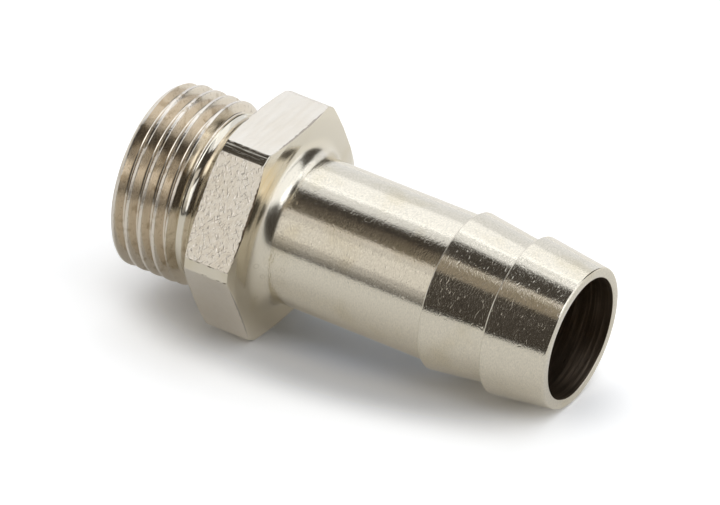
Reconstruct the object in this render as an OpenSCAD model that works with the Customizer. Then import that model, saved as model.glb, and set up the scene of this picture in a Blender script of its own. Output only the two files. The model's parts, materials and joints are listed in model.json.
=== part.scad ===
// Threaded hose nipple, turned in one piece from hexagonal bar
// It lies on its side: one flat's edge and a barb of the tail rest on the ground

/* [Thread] */
// Outside diameter of the pipe thread
thread_d = 16.662; // [15.6:0.002:18]
// Distance from one thread crest to the next
thread_pitch = 1.337; // [1:0.001:1.6]
// Length from the end face to the hexagon
thread_len = 8.9; // [6:0.1:14]
// Length of the lead-in bevel at the end of the thread
lead_len = 0.7; // [0.3:0.05:1.4]
// Depth of the lead-in bevel
lead_depth = 0.48; // [0.2:0.02:0.9]
// Width of the undercut between thread and hexagon, at its floor and inner corners
neck_w = 1.95; // [1.5:0.05:3]
// Depth of the undercut below the thread's root
neck_step = 0.06; // [0.02:0.02:0.3]
// Radius of the two inner corners of the undercut
neck_fillet = 0.94; // [0.3:0.02:0.96]

/* [Hexagon] */
// Width across the flats
hex_af = 18.9; // [18.2:0.1:24]
// Length of the hexagon along the bore
hex_len = 4.8; // [3:0.1:10]
// Depth turned off each corner of the bar
corner_cut = 0.32; // [0.1:0.02:0.7]
// Width of the flat ring outside the flats' middle, before the end bevels begin
bevel_start = 0.12; // [0.04:0.02:0.3]
// Slope at which the domed bevels at both ends of the hexagon begin, in degrees
bevel_angle = 15; // [8:1:35]

/* [Hose tail] */
// Diameter of the plain stem
stem_d = 13.2; // [12.4:0.1:14.8]
// Length of the stem from the hexagon to the first barb
stem_len = 16.4; // [10:0.1:36]
// Radius of the inner corner between hexagon and stem
stem_fillet = 1.5; // [0.5:0.1:2]
// Number of barbs
barb_count = 2; // [1:1:5]
// Height of each barb's crest over the stem
barb_rise = 0.5; // [0.2:0.05:1.1]
// Length of each barb but the last
barb_len = 6; // [4:0.1:9]
// Length of the last barb, up to the tip
tip_len = 5.8; // [4:0.1:9]
// Taper of the barbs, in degrees from the axis
barb_taper = 7.1; // [3:0.1:9]
// Bevel round the rim of the tip
tip_bevel = 0.16; // [0.08:0.02:0.3]

/* [Bore] */
// Diameter of the bore, straight from end to end
bore_d = 11; // [7:0.1:11.3]

/* [Hidden] */
$fn = 96;

// Radii, all measured from the axis of the bore
bore_r = bore_d / 2;
thread_r = thread_d / 2;
thread_depth = 0.6403 * thread_pitch;
neck_r = thread_r - thread_depth - neck_step;
flat_r = hex_af / 2;
corner_r = flat_r / cos(30) - corner_cut;
bevel_r = flat_r + bevel_start;
stem_r = stem_d / 2;
crest_r = stem_r + barb_rise;
tip_r = crest_r - tip_len * tan(barb_taper);

// Places along the axis: the hexagon's thread side is at zero, the tail runs up
first_barb = hex_len + stem_len;
tip_place = first_barb + (barb_count - 1) * barb_len + tip_len;

// Each barb rises square from what is behind it and tapers towards the tip
function crest_place(i) = first_barb + i * barb_len;
function taper_end(i) = i < barb_count - 1
    ? [crest_r - barb_len * tan(barb_taper), crest_place(i + 1)]
    : [tip_r, tip_place - tip_bevel];

// Lying on its side, the part tips about the hexagon's edge until the tail touches
touching = [
    for (i = [0 : barb_count - 1]) [crest_r, crest_place(i)],
    [tip_r, tip_place - tip_bevel]
];
rest_tilt = min([for (p = touching) atan((flat_r - p[0]) / (p[1] - hex_len))]);
rest_height = flat_r * cos(rest_tilt) + hex_len * sin(rest_tilt);

// Middle of the lying part, from its lower thread rim to the upper rim of the tip
thread_reach = thread_len * cos(rest_tilt) + (thread_r - lead_depth) * sin(rest_tilt);
tip_reach = tip_place * cos(rest_tilt) + (tip_r - tip_bevel) * sin(rest_tilt);
middle = (tip_reach - thread_reach) / 2;

// Thread, neck and tail, with radius across and distance along the axis upwards
module outline() {
    polygon(concat(
        [
            [bore_r, -thread_len],
            [thread_r - lead_depth, -thread_len],
            [thread_r, lead_len - thread_len],
            [thread_r, 0],
            [stem_r, 0],
            [stem_r, hex_len],
            [stem_r, first_barb]
        ],
        [
            for (i = [0 : barb_count - 1])
                each [[crest_r, crest_place(i)], taper_end(i)]
        ],
        [
            [tip_r - tip_bevel, tip_place],
            [bore_r, tip_place]
        ]
    ));
}

// The undercut, square to the hexagon and sloping up to the thread
module undercut() {
    corner = min(neck_fillet, neck_w / 2);
    centre_r = neck_r + corner;
    thread_side = corner - neck_w;
    slope = 30;
    foot = [centre_r - corner * sin(slope), thread_side - corner * cos(slope)];
    mouth_r = thread_r + 1;
    translate([centre_r, -corner]) circle(corner);
    translate([centre_r, thread_side]) circle(corner);
    polygon([
        [neck_r, -corner],
        [centre_r, 0],
        [mouth_r, 0],
        [mouth_r, foot[1] - (mouth_r - foot[0]) * tan(slope)],
        foot,
        [neck_r, thread_side]
    ]);
}

// The bar turned down for the hexagon, with both ends domed a little outside the flats
module hexagon_blank() {
    dome_r = bevel_r / sin(bevel_angle);
    dome_depth = dome_r * cos(bevel_angle);
    intersection() {
        translate([bore_r, 0]) square([corner_r - bore_r, hex_len]);
        translate([0, dome_depth]) circle(dome_r);
        translate([0, hex_len - dome_depth]) circle(dome_r);
    }
}

// Material left in the inner corner between the hexagon and the stem
module stem_corner() {
    translate([stem_r, hex_len])
        difference() {
            square(stem_fillet);
            translate([stem_fillet, stem_fillet]) circle(stem_fillet);
        }
}

module half_section() {
    difference() {
        outline();
        undercut();
    }
    hexagon_blank();
    stem_corner();
}

// The hexagonal bar, with one flat facing down once the part lies on its side
module bar() {
    spare = 1;
    rotate(30)
        translate([0, 0, -thread_len - spare])
        cylinder(r = flat_r / cos(30), h = thread_len + tip_place + 2 * spare, $fn = 6);
}

module hose_nipple() {
    color([0.79, 0.76, 0.7])
        translate([-middle, 0, rest_height])
        rotate([0, rest_tilt + 90, 0])
        intersection() {
            rotate_extrude() half_section();
            bar();
        }
}

hose_nipple();
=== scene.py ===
import json
import math

import bmesh
import bpy
from mathutils import Matrix, Vector


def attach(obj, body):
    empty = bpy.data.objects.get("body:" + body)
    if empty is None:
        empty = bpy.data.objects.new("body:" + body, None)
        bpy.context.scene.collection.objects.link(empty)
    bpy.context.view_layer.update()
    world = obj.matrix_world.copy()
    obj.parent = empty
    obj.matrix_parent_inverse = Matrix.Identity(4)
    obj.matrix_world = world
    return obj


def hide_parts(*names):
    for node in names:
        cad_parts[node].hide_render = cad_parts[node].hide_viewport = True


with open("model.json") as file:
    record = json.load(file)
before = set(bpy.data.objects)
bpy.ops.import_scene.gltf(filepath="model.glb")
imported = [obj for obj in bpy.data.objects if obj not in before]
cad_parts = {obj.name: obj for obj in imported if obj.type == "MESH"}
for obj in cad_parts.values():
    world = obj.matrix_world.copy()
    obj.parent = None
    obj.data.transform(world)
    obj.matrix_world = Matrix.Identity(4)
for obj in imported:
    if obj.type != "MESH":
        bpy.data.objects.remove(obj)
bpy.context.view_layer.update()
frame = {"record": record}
scene = bpy.context.scene

# The nipple is one piece, turned and drilled from hexagonal brass bar.
# It is made here standing on end in millimetres, thread down, with the hexagon's
# thread side at zero, and laid down in its place when it is finished.
mounts = {mount["name"]: mount for mount in frame["record"]["mounts"]}
bore_r = mounts["bore"]["dims"]["r_mm"]
bore_len = mounts["bore"]["dims"]["length_mm"]
bore_lip = 0.05

# The thread, with a bevel to lead it in
thread_r = mounts["thread"]["dims"]["r_mm"]
thread_len = 8.9
pitch = 1.337
thread_depth = 0.6403 * pitch
root_r = thread_r - thread_depth
lead_len = 0.7
lead_depth = 0.48

# The undercut: a slope down from the thread, a small round at its foot, then a large one
# that turns to 45 degrees and runs up so to the hexagon
neck_step = 0.06
neck_r = root_r - neck_step
neck_start = -2.95
neck_slope = math.radians(30)
foot_corner = 0.25
foot_r = neck_r + foot_corner * (1 - math.sin(neck_slope))
foot_place = neck_start + (thread_r - foot_r) * math.tan(neck_slope)
neck_corner = 1.6
neck_middle = -2.2

# The hexagon, with its corners turned down and both ends domed from just outside the flats
flat_r = 9.45
hex_len = 4.8
corner_cut = 0.32
corner_r = flat_r / math.cos(math.radians(30)) - corner_cut
corner_round = 0.08
corner_inset = 0.1
bevel_start = 0.12
bevel_r = flat_r + bevel_start
bevel_angle = math.radians(15)
dome_r = bevel_r / math.sin(bevel_angle)
dome_steps = 6
dome_end = corner_r - 0.04

# The stem and two barbs, each square behind its crest and tapering towards the tip
stem_r = 6.6
stem_corner = 1.5
crest_r = 7.1
first_barb = 21.2
second_barb = 27.2
tip_place = bore_len - thread_len
taper = math.tan(math.radians(7.1))
second_root = crest_r - (second_barb - first_barb) * taper
tip_r = crest_r - (tip_place - second_barb) * taper
barb_corner = 0.08
lip_r = 0.1
lip_end = 7
rim_r = 0.17
rim_proud = 0.015

# All other edges are broken a little
rim_break = 0.04
edge_break = 0.03
soft_break = 0.02


def arc(centre, radius, start, end, steps):
    """Points of an arc in the half section, with angles in degrees from outwards to upwards."""
    points = []
    for step in range(steps + 1):
        angle = math.radians(start + (end - start) * step / steps)
        points.append((centre[0] + radius * math.cos(angle), centre[1] + radius * math.sin(angle)))
    return points


def dome(radius, top):
    """Height of the hexagon's domed end at a radius."""
    drop = math.sqrt(dome_r ** 2 - bevel_r ** 2) - math.sqrt(dome_r ** 2 - radius ** 2)
    return hex_len - drop if top else drop


dome_radii = [bevel_r + (dome_end - bevel_r) * step / dome_steps for step in range(dome_steps + 1)]
foot_middle = foot_place + foot_corner * math.cos(neck_slope)
turned_r = corner_r - corner_round
thread_side = dome(corner_r, False) + corner_inset
tail_side = dome(corner_r, True) - corner_inset

# The half section runs from the thread's end, round the outside, to the tip's rim
half_section = [(bore_r, -thread_len)]
half_section += [(thread_r - lead_depth - rim_break, -thread_len)]
half_section += [(thread_r - lead_depth, -thread_len + edge_break)]
half_section += [(thread_r - soft_break, -thread_len + lead_len - edge_break)]
half_section += [(thread_r, -thread_len + lead_len)]
half_section += [(thread_r, neck_start), (thread_r - edge_break, neck_start + soft_break)]
half_section += arc((neck_r + foot_corner, foot_middle), foot_corner, 240, 180, 6)
half_section += arc((neck_r + neck_corner, neck_middle), neck_corner, 180, 135, 12)
half_section += [(half_section[-1][0] - half_section[-1][1], 0)]
half_section += [(radius, dome(radius, False)) for radius in dome_radii]
half_section += arc((turned_r, thread_side), corner_round, -60, 0, 3)
half_section += arc((turned_r, tail_side), corner_round, 0, 60, 3)
half_section += [(radius, dome(radius, True)) for radius in reversed(dome_radii)]
half_section += arc((stem_r + stem_corner, hex_len + stem_corner), stem_corner, 270, 180, 24)
half_section += [(stem_r, first_barb - barb_corner)]
half_section += arc((stem_r + barb_corner, first_barb - barb_corner), barb_corner, 180, 90, 3)
half_section += arc((crest_r - lip_r, first_barb + lip_r), lip_r, -90, lip_end, 6)
half_section += [(second_root, second_barb - barb_corner)]
half_section += arc((second_root + barb_corner, second_barb - barb_corner), barb_corner, 180, 90, 3)
half_section += arc((crest_r - lip_r, second_barb + lip_r), lip_r, -90, lip_end, 6)
half_section += arc((tip_r - rim_r + rim_proud, tip_place - rim_r), rim_r, lip_end, 90, 6)
half_section += arc((bore_r + bore_lip, tip_place - bore_lip), bore_lip, 90, 180, 3)

# A ring is drawn along the half section, growing and shrinking as it goes
ring_points = 288
weld = 0.0004
bpy.ops.object.select_all(action="DESELECT")
bpy.ops.mesh.primitive_circle_add(vertices=ring_points, radius=bore_r)
nipple = bpy.context.object
nipple.name = "nipple"
bpy.ops.object.mode_set(mode="EDIT")
bpy.ops.mesh.select_all(action="SELECT")
bpy.ops.transform.translate(value=(0, 0, half_section[0][1]))
for (radius, place), (next_radius, next_place) in zip(half_section, half_section[1:] + half_section[:1]):
    bpy.ops.mesh.extrude_region_move(TRANSFORM_OT_translate={"value": (0, 0, next_place - place)})
    factor = next_radius / radius
    bpy.ops.transform.resize(value=(factor, factor, 1), center_override=(0, 0, next_place))
bpy.ops.mesh.select_all(action="SELECT")
bpy.ops.mesh.remove_doubles(threshold=weld)
bpy.ops.mesh.normals_make_consistent(inside=False)

# The six flats are what is left of the bar. Each is cut off square, and its edges
# are broken by a small round, as the plating leaves them.
edge_r = 0.085
on_plane = 0.001
crease = math.radians(8)
flat_turns = [math.radians(60 * k) for k in range(6)]
flat_normals = [Vector((math.cos(turn), math.sin(turn), 0)) for turn in flat_turns]
for normal in flat_normals:
    plane = {"plane_co": normal * flat_r, "plane_no": normal}
    bpy.ops.mesh.select_all(action="SELECT")
    bpy.ops.mesh.bisect(**plane, use_fill=True, clear_outer=True, threshold=weld)
bpy.ops.mesh.select_mode(type="EDGE")
bpy.ops.mesh.select_all(action="DESELECT")
mesh = bmesh.from_edit_mesh(nipple.data)
mesh.normal_update()
for edge in mesh.edges:
    on_flat = any(
        all(abs(vert.co.dot(normal) - flat_r) < on_plane for vert in edge.verts)
        for normal in flat_normals
    )
    if on_flat and edge.calc_face_angle(0) > crease:
        edge.select_set(True)
bmesh.update_edit_mesh(nipple.data)
bpy.ops.mesh.bevel(offset=edge_r, segments=3, affect="EDGES", clamp_overlap=True)
bpy.ops.object.mode_set(mode="OBJECT")

# The thread is a right-hand pipe thread, cut with a pointed tool that runs in
# at one place on the end's rim and out into the undercut.
half_angle = math.radians(27.5)
flank_turn = math.pi / 2 - half_angle
root_round = 0.1373 * pitch
crest_round = 0.05
crest_land = 0.187
crest_edge = (pitch - crest_land) / 2
groove_steps = 5
tool_spare = 0.25
side = []
for step in range(1, groove_steps + 1):
    angle = flank_turn * step / groove_steps
    side.append((root_r + root_round * (1 - math.cos(angle)), root_round * math.sin(angle)))
for step in range(groove_steps):
    angle = flank_turn * (1 - step / (groove_steps - 1))
    across = thread_r - crest_round * (1 - math.cos(angle))
    side.append((across, crest_edge - crest_round * math.sin(angle)))
side.append((thread_r + tool_spare, crest_edge))
groove = [(radius, -along) for radius, along in reversed(side)] + [(root_r, 0.0)] + side

entry = math.radians(285)
run_out = 1
turns = (thread_len - run_out) / pitch
steps_a_turn = 144
bpy.ops.object.select_all(action="DESELECT")
bpy.ops.mesh.primitive_circle_add(vertices=len(groove), radius=1, fill_type="NOTHING")
cutter = bpy.context.object
cutter.name = "thread_tool"
for vert, (radius, along) in zip(cutter.data.vertices, groove):
    vert.co = (radius * math.cos(entry), radius * math.sin(entry), along - thread_len - pitch)
screw = cutter.modifiers.new("lead", "SCREW")
screw.axis = "Z"
screw.angle = turns * math.tau
screw.screw_offset = turns * pitch
screw.steps = round(steps_a_turn * turns)
screw.render_steps = screw.steps
bpy.ops.object.modifier_apply(modifier=screw.name)
bpy.ops.object.mode_set(mode="EDIT")
bpy.ops.mesh.select_all(action="SELECT")
bpy.ops.mesh.remove_doubles(threshold=weld)
bpy.ops.mesh.select_all(action="DESELECT")
bpy.ops.mesh.select_mode(type="EDGE")
bpy.ops.mesh.select_non_manifold()
bpy.ops.mesh.edge_face_add()
bpy.ops.mesh.select_all(action="SELECT")
bpy.ops.mesh.normals_make_consistent(inside=False)
bpy.ops.object.mode_set(mode="OBJECT")

bpy.ops.object.select_all(action="DESELECT")
nipple.select_set(True)
bpy.context.view_layer.objects.active = nipple
cut = nipple.modifiers.new("thread", "BOOLEAN")
cut.operation = "DIFFERENCE"
cut.solver = "EXACT"
cut.object = cutter
bpy.ops.object.modifier_apply(modifier=cut.name)
bpy.data.objects.remove(cutter)

# The surface is bright nickel over brass. The machine's finish shows through it, so the
# turned faces, the flats of the drawn bar, the thread, the bore and the edges of the
# flats are told apart while the piece still stands on end.
near = 0.05
square = 0.98
leaning = 0.7
finish_of_face = []
for face in nipple.data.polygons:
    centre = face.center
    radius = math.hypot(centre.x, centre.y)
    lean, depth = max((face.normal.dot(normal), centre.dot(normal) - flat_r) for normal in flat_normals)
    if radius < bore_r + 0.01:
        finish_of_face.append("nickel_bore")
    elif -thread_len + soft_break < centre.z < foot_place and radius > neck_r + soft_break:
        finish_of_face.append("nickel_thread")
    elif lean > square and depth > -near:
        finish_of_face.append("nickel_flats")
    elif lean > leaning and abs(depth) < near:
        finish_of_face.append("nickel_edges")
    else:
        finish_of_face.append("nickel_turned")
nipple.data.materials.clear()

# It lies on its side as it comes to rest: the bore slopes down towards the tail.
millimetre = 0.001
bore_axis = Vector(mounts["bore"]["axis"])
slope = math.atan2(-bore_axis.z, bore_axis.x)
to_shoulder = (tip_place - thread_len) / 2 * millimetre
shoulder = Vector(mounts["bore"]["pos_m"]) - bore_axis * to_shoulder
lie_down = Matrix.Rotation(slope + math.pi / 2, 4, "Y")
nipple.data.transform(Matrix.Translation(shoulder) @ lie_down @ Matrix.Scale(millimetre, 4))
nipple.data.update()
bpy.ops.object.select_all(action="DESELECT")
nipple.select_set(True)
bpy.context.view_layer.objects.active = nipple
bpy.ops.object.shade_smooth_by_angle(angle=math.radians(32))
even = nipple.modifiers.new("even_shading", "WEIGHTED_NORMAL")
even.mode = "FACE_AREA"
even.keep_sharp = True
bpy.ops.object.modifier_apply(modifier=even.name)


class Shade:
    """A socket of a material's nodes, used in sums as a number would be."""

    def __init__(self, tree, socket):
        self.tree = tree
        self.socket = socket

    def node(self, kind, settings, sockets, output=0):
        """Add a node: its settings first, then the values or links of its sockets."""
        made = self.tree.nodes.new(kind)
        for name, value in settings.items():
            setattr(made, name, value)
        for name, value in sockets.items():
            if isinstance(value, Shade):
                self.tree.links.new(value.socket, made.inputs[name])
            else:
                made.inputs[name].default_value = value
        return Shade(self.tree, made.outputs[output])

    def maths(self, operation, *values):
        return self.node("ShaderNodeMath", {"operation": operation}, dict(enumerate(values)))

    def __add__(self, other):
        return self.maths("ADD", self, other)

    def __radd__(self, other):
        return self.maths("ADD", other, self)

    def __sub__(self, other):
        return self.maths("SUBTRACT", self, other)

    def __rsub__(self, other):
        return self.maths("SUBTRACT", other, self)

    def __mul__(self, other):
        return self.maths("MULTIPLY", self, other)

    def __rmul__(self, other):
        return self.maths("MULTIPLY", other, self)

    def __abs__(self):
        return self.maths("ABSOLUTE", self)

    def part(self, axis):
        """One of the three numbers of a place."""
        return self.node("ShaderNodeSeparateXYZ", {}, {"Vector": self}, axis)

    def fade(self, start, end):
        """Rises smoothly from 0 at one value to 1 at the other."""
        values = {"Value": self, "From Min": start, "From Max": end}
        return self.node("ShaderNodeMapRange", {"interpolation_type": "SMOOTHSTEP"}, values)

    def noise(self, scale, detail=2.0, distortion=0.0):
        """Cloudy noise about zero, from -0.5 to 0.5, at so many blobs a millimetre."""
        values = {"Vector": self, "Scale": scale, "Detail": detail, "Distortion": distortion}
        return self.node("ShaderNodeTexNoise", {}, values) - 0.5

    def shifted(self, x, y, z):
        """The same place moved, so that two noises don't fall together."""
        return self.node("ShaderNodeVectorMath", {"operation": "ADD"}, {0: self, 1: (x, y, z)})

    def scaled(self, x, y, z):
        """The same place scaled, so that a noise is squeezed or drawn out one way."""
        return self.node("ShaderNodeMapping", {}, {"Vector": self, "Scale": (x, y, z)})

    def reach(self, point):
        """How far this place is from a point."""
        return self.node("ShaderNodeVectorMath", {"operation": "DISTANCE"}, {0: self, 1: point}, 1)

    def strokes(self, scale, width, share):
        """Short curved nicks: pieces of a noise's contour lines, kept where a second noise is high."""
        line = 1 - abs(self.noise(scale, 0.5, 0.4)).fade(width * 0.3, width)
        return line * self.shifted(7, 3, 5).noise(scale * 1.7, 0.0).fade(share, share + 0.06)

    def tinted(self, low, high):
        """A colour between two, by this number. The first may be a colour that varies."""
        low = low if isinstance(low, Shade) else (*low, 1)
        values = {"Factor": self, "A": low, "B": (*high, 1)}
        return self.node("ShaderNodeMix", {"data_type": "RGBA"}, values, 2)

    def dimmed(self, factor):
        """A colour times a number."""
        return self.node("ShaderNodeVectorMath", {"operation": "SCALE"}, {"Vector": self, "Scale": factor})

    def feeds(self, shader, name):
        self.tree.links.new(self.socket, shader.inputs[name])

    def raises(self, shader):
        """This height in millimetres, as bumps of the surface."""
        values = {"Height": self, "Distance": millimetre}
        self.node("ShaderNodeBump", {}, values).feeds(shader, "Normal")


def metal(name):
    """A new metal material, with its shader and the place on the piece in millimetres.

    The place runs along the bore from the shoulder, then across to the back, then up.
    """
    material = bpy.data.materials.new(name)
    material.use_nodes = True
    tree = material.node_tree
    shader = tree.nodes["Principled BSDF"]
    shader.inputs["Metallic"].default_value = 1
    place = Shade(tree, tree.nodes.new("ShaderNodeTexCoord").outputs["Object"])
    lying = {"Location": shoulder, "Rotation": (0, slope, 0), "Scale": [millimetre] * 3}
    place = place.node("ShaderNodeMapping", {"vector_type": "TEXTURE"}, {"Vector": place, **lying})
    nipple.data.materials.append(material)
    return shader, place


def off_axis(place):
    """How far a place is from the bore's axis."""
    across, up = place.part(1), place.part(2)
    return place.maths("SQRT", across * across + up * up)


def rings(place, fineness):
    """Fine noise that runs round the bore, as a turning tool leaves it."""
    lie = place.part(1) + place.part(2)
    values = {"X": place.part(0) * fineness, "Y": off_axis(place) * fineness, "Z": lie * 0.15}
    return place.node("ShaderNodeCombineXYZ", {}, values).noise(1.0, 3.0)


def at_crests(along, set_back, start, end):
    """1 at the crests of both barbs or a little past them, and 0 further off."""
    first = abs(along - (first_barb + set_back)).fade(start, end)
    second = abs(along - (second_barb + set_back)).fade(start, end)
    return 2 - first - second


# The turned faces: hexagon ends, neck, stem, barbs and both end faces. They are smooth,
# with small dents from the plating barrel that lie round the bore, and chipped crests.
# What multiplies each mark is its height in millimetres, here and in the other finishes.
bright_nickel = (0.69, 0.635, 0.522)
dull_nickel = (0.645, 0.58, 0.445)
shader, place = metal("nickel_turned")
along = place.part(0)
cloud = place.noise(0.22, 2.0)
tail = along.fade(hex_len + 0.3, hex_len + 1.1)
squeezed = place.scaled(2.0, 1.0, 1.0)
grain = squeezed.noise(5.0, 3.0)
dents = squeezed.shifted(5, 1, 8).noise(2.6, 0.0).fade(0.18, 0.32)
specks = place.shifted(2, 7, 4).noise(7.0, 0.0).fade(0.2, 0.32)
scratches = place.shifted(11, 2, 9).strokes(0.5, 0.02, 0.16)
peel = place.noise(1.2, 1.0)
knocks = grain * 0.0065 - dents * 0.0035 - specks * 0.0018 - scratches * 0.002
height = peel * 0.004 + rings(place, 8.0) * 0.0015 + knocks * (tail + 0.12)
lips = at_crests(along, 0.0, 0.05, 0.2)
height = height + lips * place.noise(4.0, 2.0) * 0.03
bar_corner = off_axis(place).fade(corner_r - 0.08, corner_r - 0.03)
drawn = place.scaled(0.04, 1.0, 1.0).noise(5.0, 2.0)
(height + bar_corner * drawn * 0.03).raises(shader)
stain = place.shifted(4, 8, 1).noise(0.3, 3.0).fade(0.0, 0.3)
# The colour is also made lighter and darker with the grain towards the tail, as painted shading of its
# fine bumps.
plated = stain.tinted(bright_nickel, dull_nickel).dimmed(1 + grain * tail * 0.5)
worn = at_crests(along, 0.03, 0.05, 0.1)
inner_corner = along.fade(hex_len - 0.4, hex_len + 0.1) - along.fade(hex_len + 1.1, hex_len + 1.8)
(0.125 + cloud * 0.05 + grain * 0.04 + worn * 0.3 + inner_corner * 0.09).feeds(shader, "Roughness")

# Oil has yellowed the front of the hexagon's end face, and four drops of water have
# dried on the inner corner and the stem. Each left a faint ring.
oil_yellow = (0.76, 0.6, 0.36)
water_brown = (0.36, 0.3, 0.2)
oil_place = (4.8, -5.5, 7.0)
oiled = (1 - place.reach(oil_place).fade(0.4, 2.4)) * (rings(place, 2.5) * 1.6 + 0.6)
drops = [
    ((5.27, -7.0, -0.28), 0.22),
    ((5.73, -6.56, -1.39), 0.2),
    ((7.63, -6.6, 0.06), 0.2),
    ((5.01, -6.07, -4.13), 0.18),
]
dried = 0
for centre, radius in drops:
    dried = dried + 1 - abs(place.reach(centre) + peel * 0.08 - radius).fade(0.02, 0.07)
oily = oiled.tinted(plated, oil_yellow)
(dried * 0.28).tinted(oily, water_brown).feeds(shader, "Base Color")

# The flats of the drawn bar, not machined. The plating follows the bar's fine grain,
# and the one towards the front is covered with small knocks, cut and raised on two slants.
bright_bar = (0.71, 0.66, 0.575)
dull_bar = (0.665, 0.6, 0.495)
edge_shadow_dark = (0.12, 0.09, 0.06)
front_across = -0.866
front_up = 0.5
shader, place = metal("nickel_flats")
along = place.part(0)
cloud = place.noise(0.25, 2.0)
front = (place.part(1) * front_across + place.part(2) * front_up).fade(flat_r - 0.6, flat_r - 0.2)
rise = place.part(1) * front_up + place.part(2) * -front_across
one_way = {"X": along * 3.6 + rise * 2.8, "Y": rise * 1.1 - along * 1.5}
other_way = {"X": along * 3.4 - rise * 3.2, "Y": rise * 1.3 + along * 1.2}
cuts = place.node("ShaderNodeCombineXYZ", {}, one_way).noise(1.0, 0.0, 0.6).fade(0.12, 0.24)
burrs = place.node("ShaderNodeCombineXYZ", {}, other_way).noise(1.0, 0.0, 0.6).fade(0.14, 0.24)
pits = place.shifted(3, 9, 2).noise(4.5, 0.0).fade(0.14, 0.28)
knocks = burrs * 0.009 - cuts * 0.0075 - pits * 0.0025 + place.noise(3.0, 2.0) * 0.018
ripples = place.scaled(1.0, 0.12, 1.0).noise(2.2, 2.0)
(ripples * 0.009 + knocks * (front + 0.1)).raises(shader)
plated = (cloud * 1.5 + ripples * 1.2 + 0.4).tinted(bright_bar, dull_bar)
# Both ends of every flat get a jagged dark line of painted shadow, strongest on the front flat.
jagged_along = along + place.noise(2.6, 2.0) * 0.3
both_ends = jagged_along.fade(hex_len - 0.22, hex_len - 0.16) + 1 - jagged_along.fade(0.0, 0.06)
painted_end_shadow = both_ends * (front * 0.45 + 0.55)
# The front flat's colour is made a little lighter, as painted light.
painted_end_shadow.tinted(plated.dimmed(front * 0.09 + 1), edge_shadow_dark).feeds(shader, "Base Color")
(0.19 + cloud * 0.06 + front * 0.02).feeds(shader, "Roughness")

# The thread. Its crests are left with a thin burr that catches the light, and its colour is
# a little lighter on the crests than down in the grooves.
groove_nickel = (0.69, 0.615, 0.505)
crest_nickel = (0.71, 0.65, 0.56)
tarnish_brown = (0.52, 0.44, 0.33)
shader, place = metal("nickel_thread")
crest = off_axis(place).fade(thread_r - 0.3, thread_r - 0.05)
speckle = place.noise(6.0, 3.0)
burr = speckle * (crest * 0.012 + 0.001)
(rings(place, 9.0) * 0.0016 + burr + place.noise(1.6) * 0.005).raises(shader)
plated = crest.tinted(groove_nickel, crest_nickel)
tarnish = place.noise(0.9, 4.0).fade(0.04, 0.2) + place.shifted(5, 5, 2).noise(5.0, 0.0).fade(0.2, 0.3)
tarnish.tinted(plated, tarnish_brown).feeds(shader, "Base Color")
(0.19 - crest * 0.04 + speckle * 0.04).feeds(shader, "Roughness")

# The bore, drilled and hardly reached by the plating, so brass with drill rings, darkened towards brown as
# painted shade of the deep bore.
ring_and_shade_brown = (0.3, 0.235, 0.17)
drilled_brass = (0.62, 0.5, 0.38)
shader, place = metal("nickel_bore")
marks = rings(place, 4.0)
(marks * 0.016 + place.noise(3.0) * 0.006).raises(shader)
marks.fade(-0.05, 0.3).tinted(ring_and_shade_brown, drilled_brass).feeds(shader, "Base Color")
(0.34 + marks * 0.3).feeds(shader, "Roughness")

# The edges of the flats, where the plating is chipped, with painted shadow that darkens them most of all
# towards the tail.
chip_and_shadow_dark = (0.11, 0.085, 0.055)
edge_nickel = (0.66, 0.6, 0.5)
shader, place = metal("nickel_edges")
chips = place.noise(3.0, 3.0)
(chips * 0.03).raises(shader)
whole_and_unshaded = chips + place.part(0).fade(hex_len - 0.9, hex_len - 0.3) * -0.16
whole_and_unshaded.fade(-0.2, -0.04).tinted(chip_and_shadow_dark, edge_nickel).feeds(shader, "Base Color")
shader.inputs["Roughness"].default_value = 0.25

for face, finish in zip(nipple.data.polygons, finish_of_face):
    face.material_index = nipple.data.materials.find(finish)

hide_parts("hose_nipple")
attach(nipple, "root")

# The floor is a sheet of white paper. For the camera it is painted bluish and a little darker close
# to the part, as painted shadow, and a painted glow whitens it away from the part. For the nickel it
# glows more behind than in front, as painted light, and it mirrors its end, 15 to 20 cm in front, as a
# dark line along the stem.
bpy.ops.mesh.primitive_plane_add(size=6)
floor = bpy.context.object
floor.name = "floor"
painted_shadow_blue = (0.755, 0.81, 0.915)
seen_white = (0.882, 0.876, 0.856)
lighting_white = (0.8, 0.785, 0.745)
warm_glow = (1, 0.985, 0.95)
paper = bpy.data.materials.new("paper")
paper.use_nodes = True
paper_shader = paper.node_tree.nodes["Principled BSDF"]
paper_shader.inputs["Roughness"].default_value = 1
paper_shader.inputs["Specular IOR Level"].default_value = 0
paper_shader.inputs["Emission Strength"].default_value = 0.4
light_path = paper.node_tree.nodes.new("ShaderNodeLightPath")
seen = Shade(paper.node_tree, light_path.outputs["Is Camera Ray"])
mirrored = Shade(paper.node_tree, light_path.outputs["Is Glossy Ray"])
spot = Shade(paper.node_tree, paper.node_tree.nodes.new("ShaderNodeTexCoord").outputs["Object"])
away_x, away_y = spot.part(0), spot.part(1)
spread = spot.maths("SQRT", away_x * away_x * 0.9 + away_y * away_y * 4.2)
on_sheet = away_y.fade(-0.2, -0.15)
behind = away_y.fade(0.0, 0.05)
glow = seen * spread.fade(0.015, 0.026) + mirrored * (on_sheet * 0.26 + behind * 0.49)
sheet = spread.fade(0.005, 0.014).tinted(painted_shadow_blue, seen_white)
colour = (1 - seen).tinted(sheet, lighting_white).dimmed(seen + (1 - seen) * on_sheet)
colour.feeds(paper_shader, "Base Color")
glow.tinted((0, 0, 0), warm_glow).feeds(paper_shader, "Emission Color")
floor.data.materials.append(paper)


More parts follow.
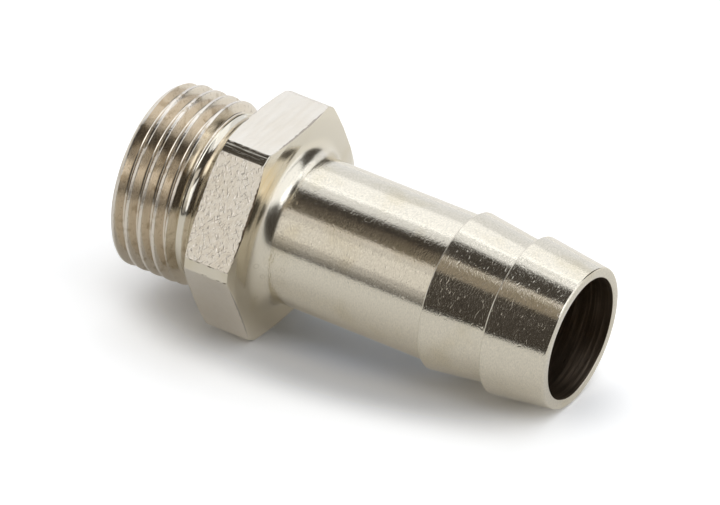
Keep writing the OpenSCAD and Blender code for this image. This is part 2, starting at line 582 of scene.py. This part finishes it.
def softbox(name, bearing, height, wide, tall, radiance, colour, roll=0):
    """A square lamp seen from the part at a bearing from +X towards +Y and a height, in degrees.

    How wide and tall it looks is given in lengths across for each length away.
    """
    distance = 0.6
    lamp = bpy.data.lights.new(name, "AREA")
    lamp.shape = "RECTANGLE"
    lamp.size = wide * distance
    lamp.size_y = tall * distance
    lamp.color = colour
    lamp.energy = radiance * lamp.size * lamp.size_y * math.pi
    holder = bpy.data.objects.new(name, lamp)
    scene.collection.objects.link(holder)
    turn, lift = math.radians(bearing), math.radians(height)
    away = Vector((math.cos(turn) * math.cos(lift), math.sin(turn) * math.cos(lift), math.sin(lift)))
    holder.location = away * distance
    facing = away.to_track_quat("Z", "Y").to_matrix() @ Matrix.Rotation(math.radians(roll), 3, "Z")
    holder.rotation_euler = facing.to_euler()


# Soft lamps stand round the table: bright ones behind, over a lit wall, on the right and
# over the front, and panels on the left that get dimmer towards the table. The room on
# the camera's side is dark.
cool = (0.955, 1, 1.085)
warm = (1, 0.99, 0.98)
amber = (1, 0.88, 0.7)
softbox("back_softbox", 118, 51, 1.2, 0.54, 1.35, cool)
softbox("back_upper", 120, 72, 0.9, 0.27, 0.95, cool)
softbox("back_wall", 118, 15.5, 1.5, 0.74, 0.97, cool)
softbox("right_softbox", 8, 49, 1.16, 1.4, 1.35, cool, roll=12)
softbox("right_wall", 22, 5, 1.0, 0.32, 1.35, cool)
softbox("front_softbox", -45, 62, 0.5, 0.5, 1.1, cool)
softbox("left_wall", -148, 18, 0.75, 0.55, 1.4, cool)
softbox("left_panel", -115, 29, 0.42, 0.44, 0.84, warm)
softbox("left_upper", -122, 47.5, 0.52, 0.22, 0.7, warm)
softbox("left_low", -114, 12.2, 0.42, 0.145, 0.5, warm)
softbox("left_lowest", -114, 4, 0.42, 0.145, 0.25, warm)
softbox("ceiling", -100, 63, 0.4, 0.4, 0.27, amber)

room = bpy.data.worlds.new("studio")
scene.world = room
room.use_nodes = True
background = room.node_tree.nodes["Background"]
background.inputs["Color"].default_value = (1, 0.88, 0.77, 1)
background.inputs["Strength"].default_value = 0.06

# The camera looks down at the part from the front right, from far off.
view_point = Vector((-0.002474, 0.003157, 0.006398))
view_distance = 0.84014
view_bearing = math.radians(30.687)
view_height = math.radians(30.781)
view_roll = math.radians(-0.568)
camera_data = bpy.data.cameras.new("camera")
camera_data.sensor_width = 36
camera_data.lens = 491.65
camera_data.clip_end = 20
camera = bpy.data.objects.new("camera", camera_data)
scene.collection.objects.link(camera)
level = math.cos(view_height)
away = Vector((math.sin(view_bearing) * level, -math.cos(view_bearing) * level, math.sin(view_height)))
camera.location = view_point + away * view_distance
upright = away.to_track_quat("Z", "Y").to_matrix()
camera.rotation_euler = (upright @ Matrix.Rotation(view_roll, 3, "Z")).to_euler()
scene.camera = camera
scene.view_settings.view_transform = "Standard"
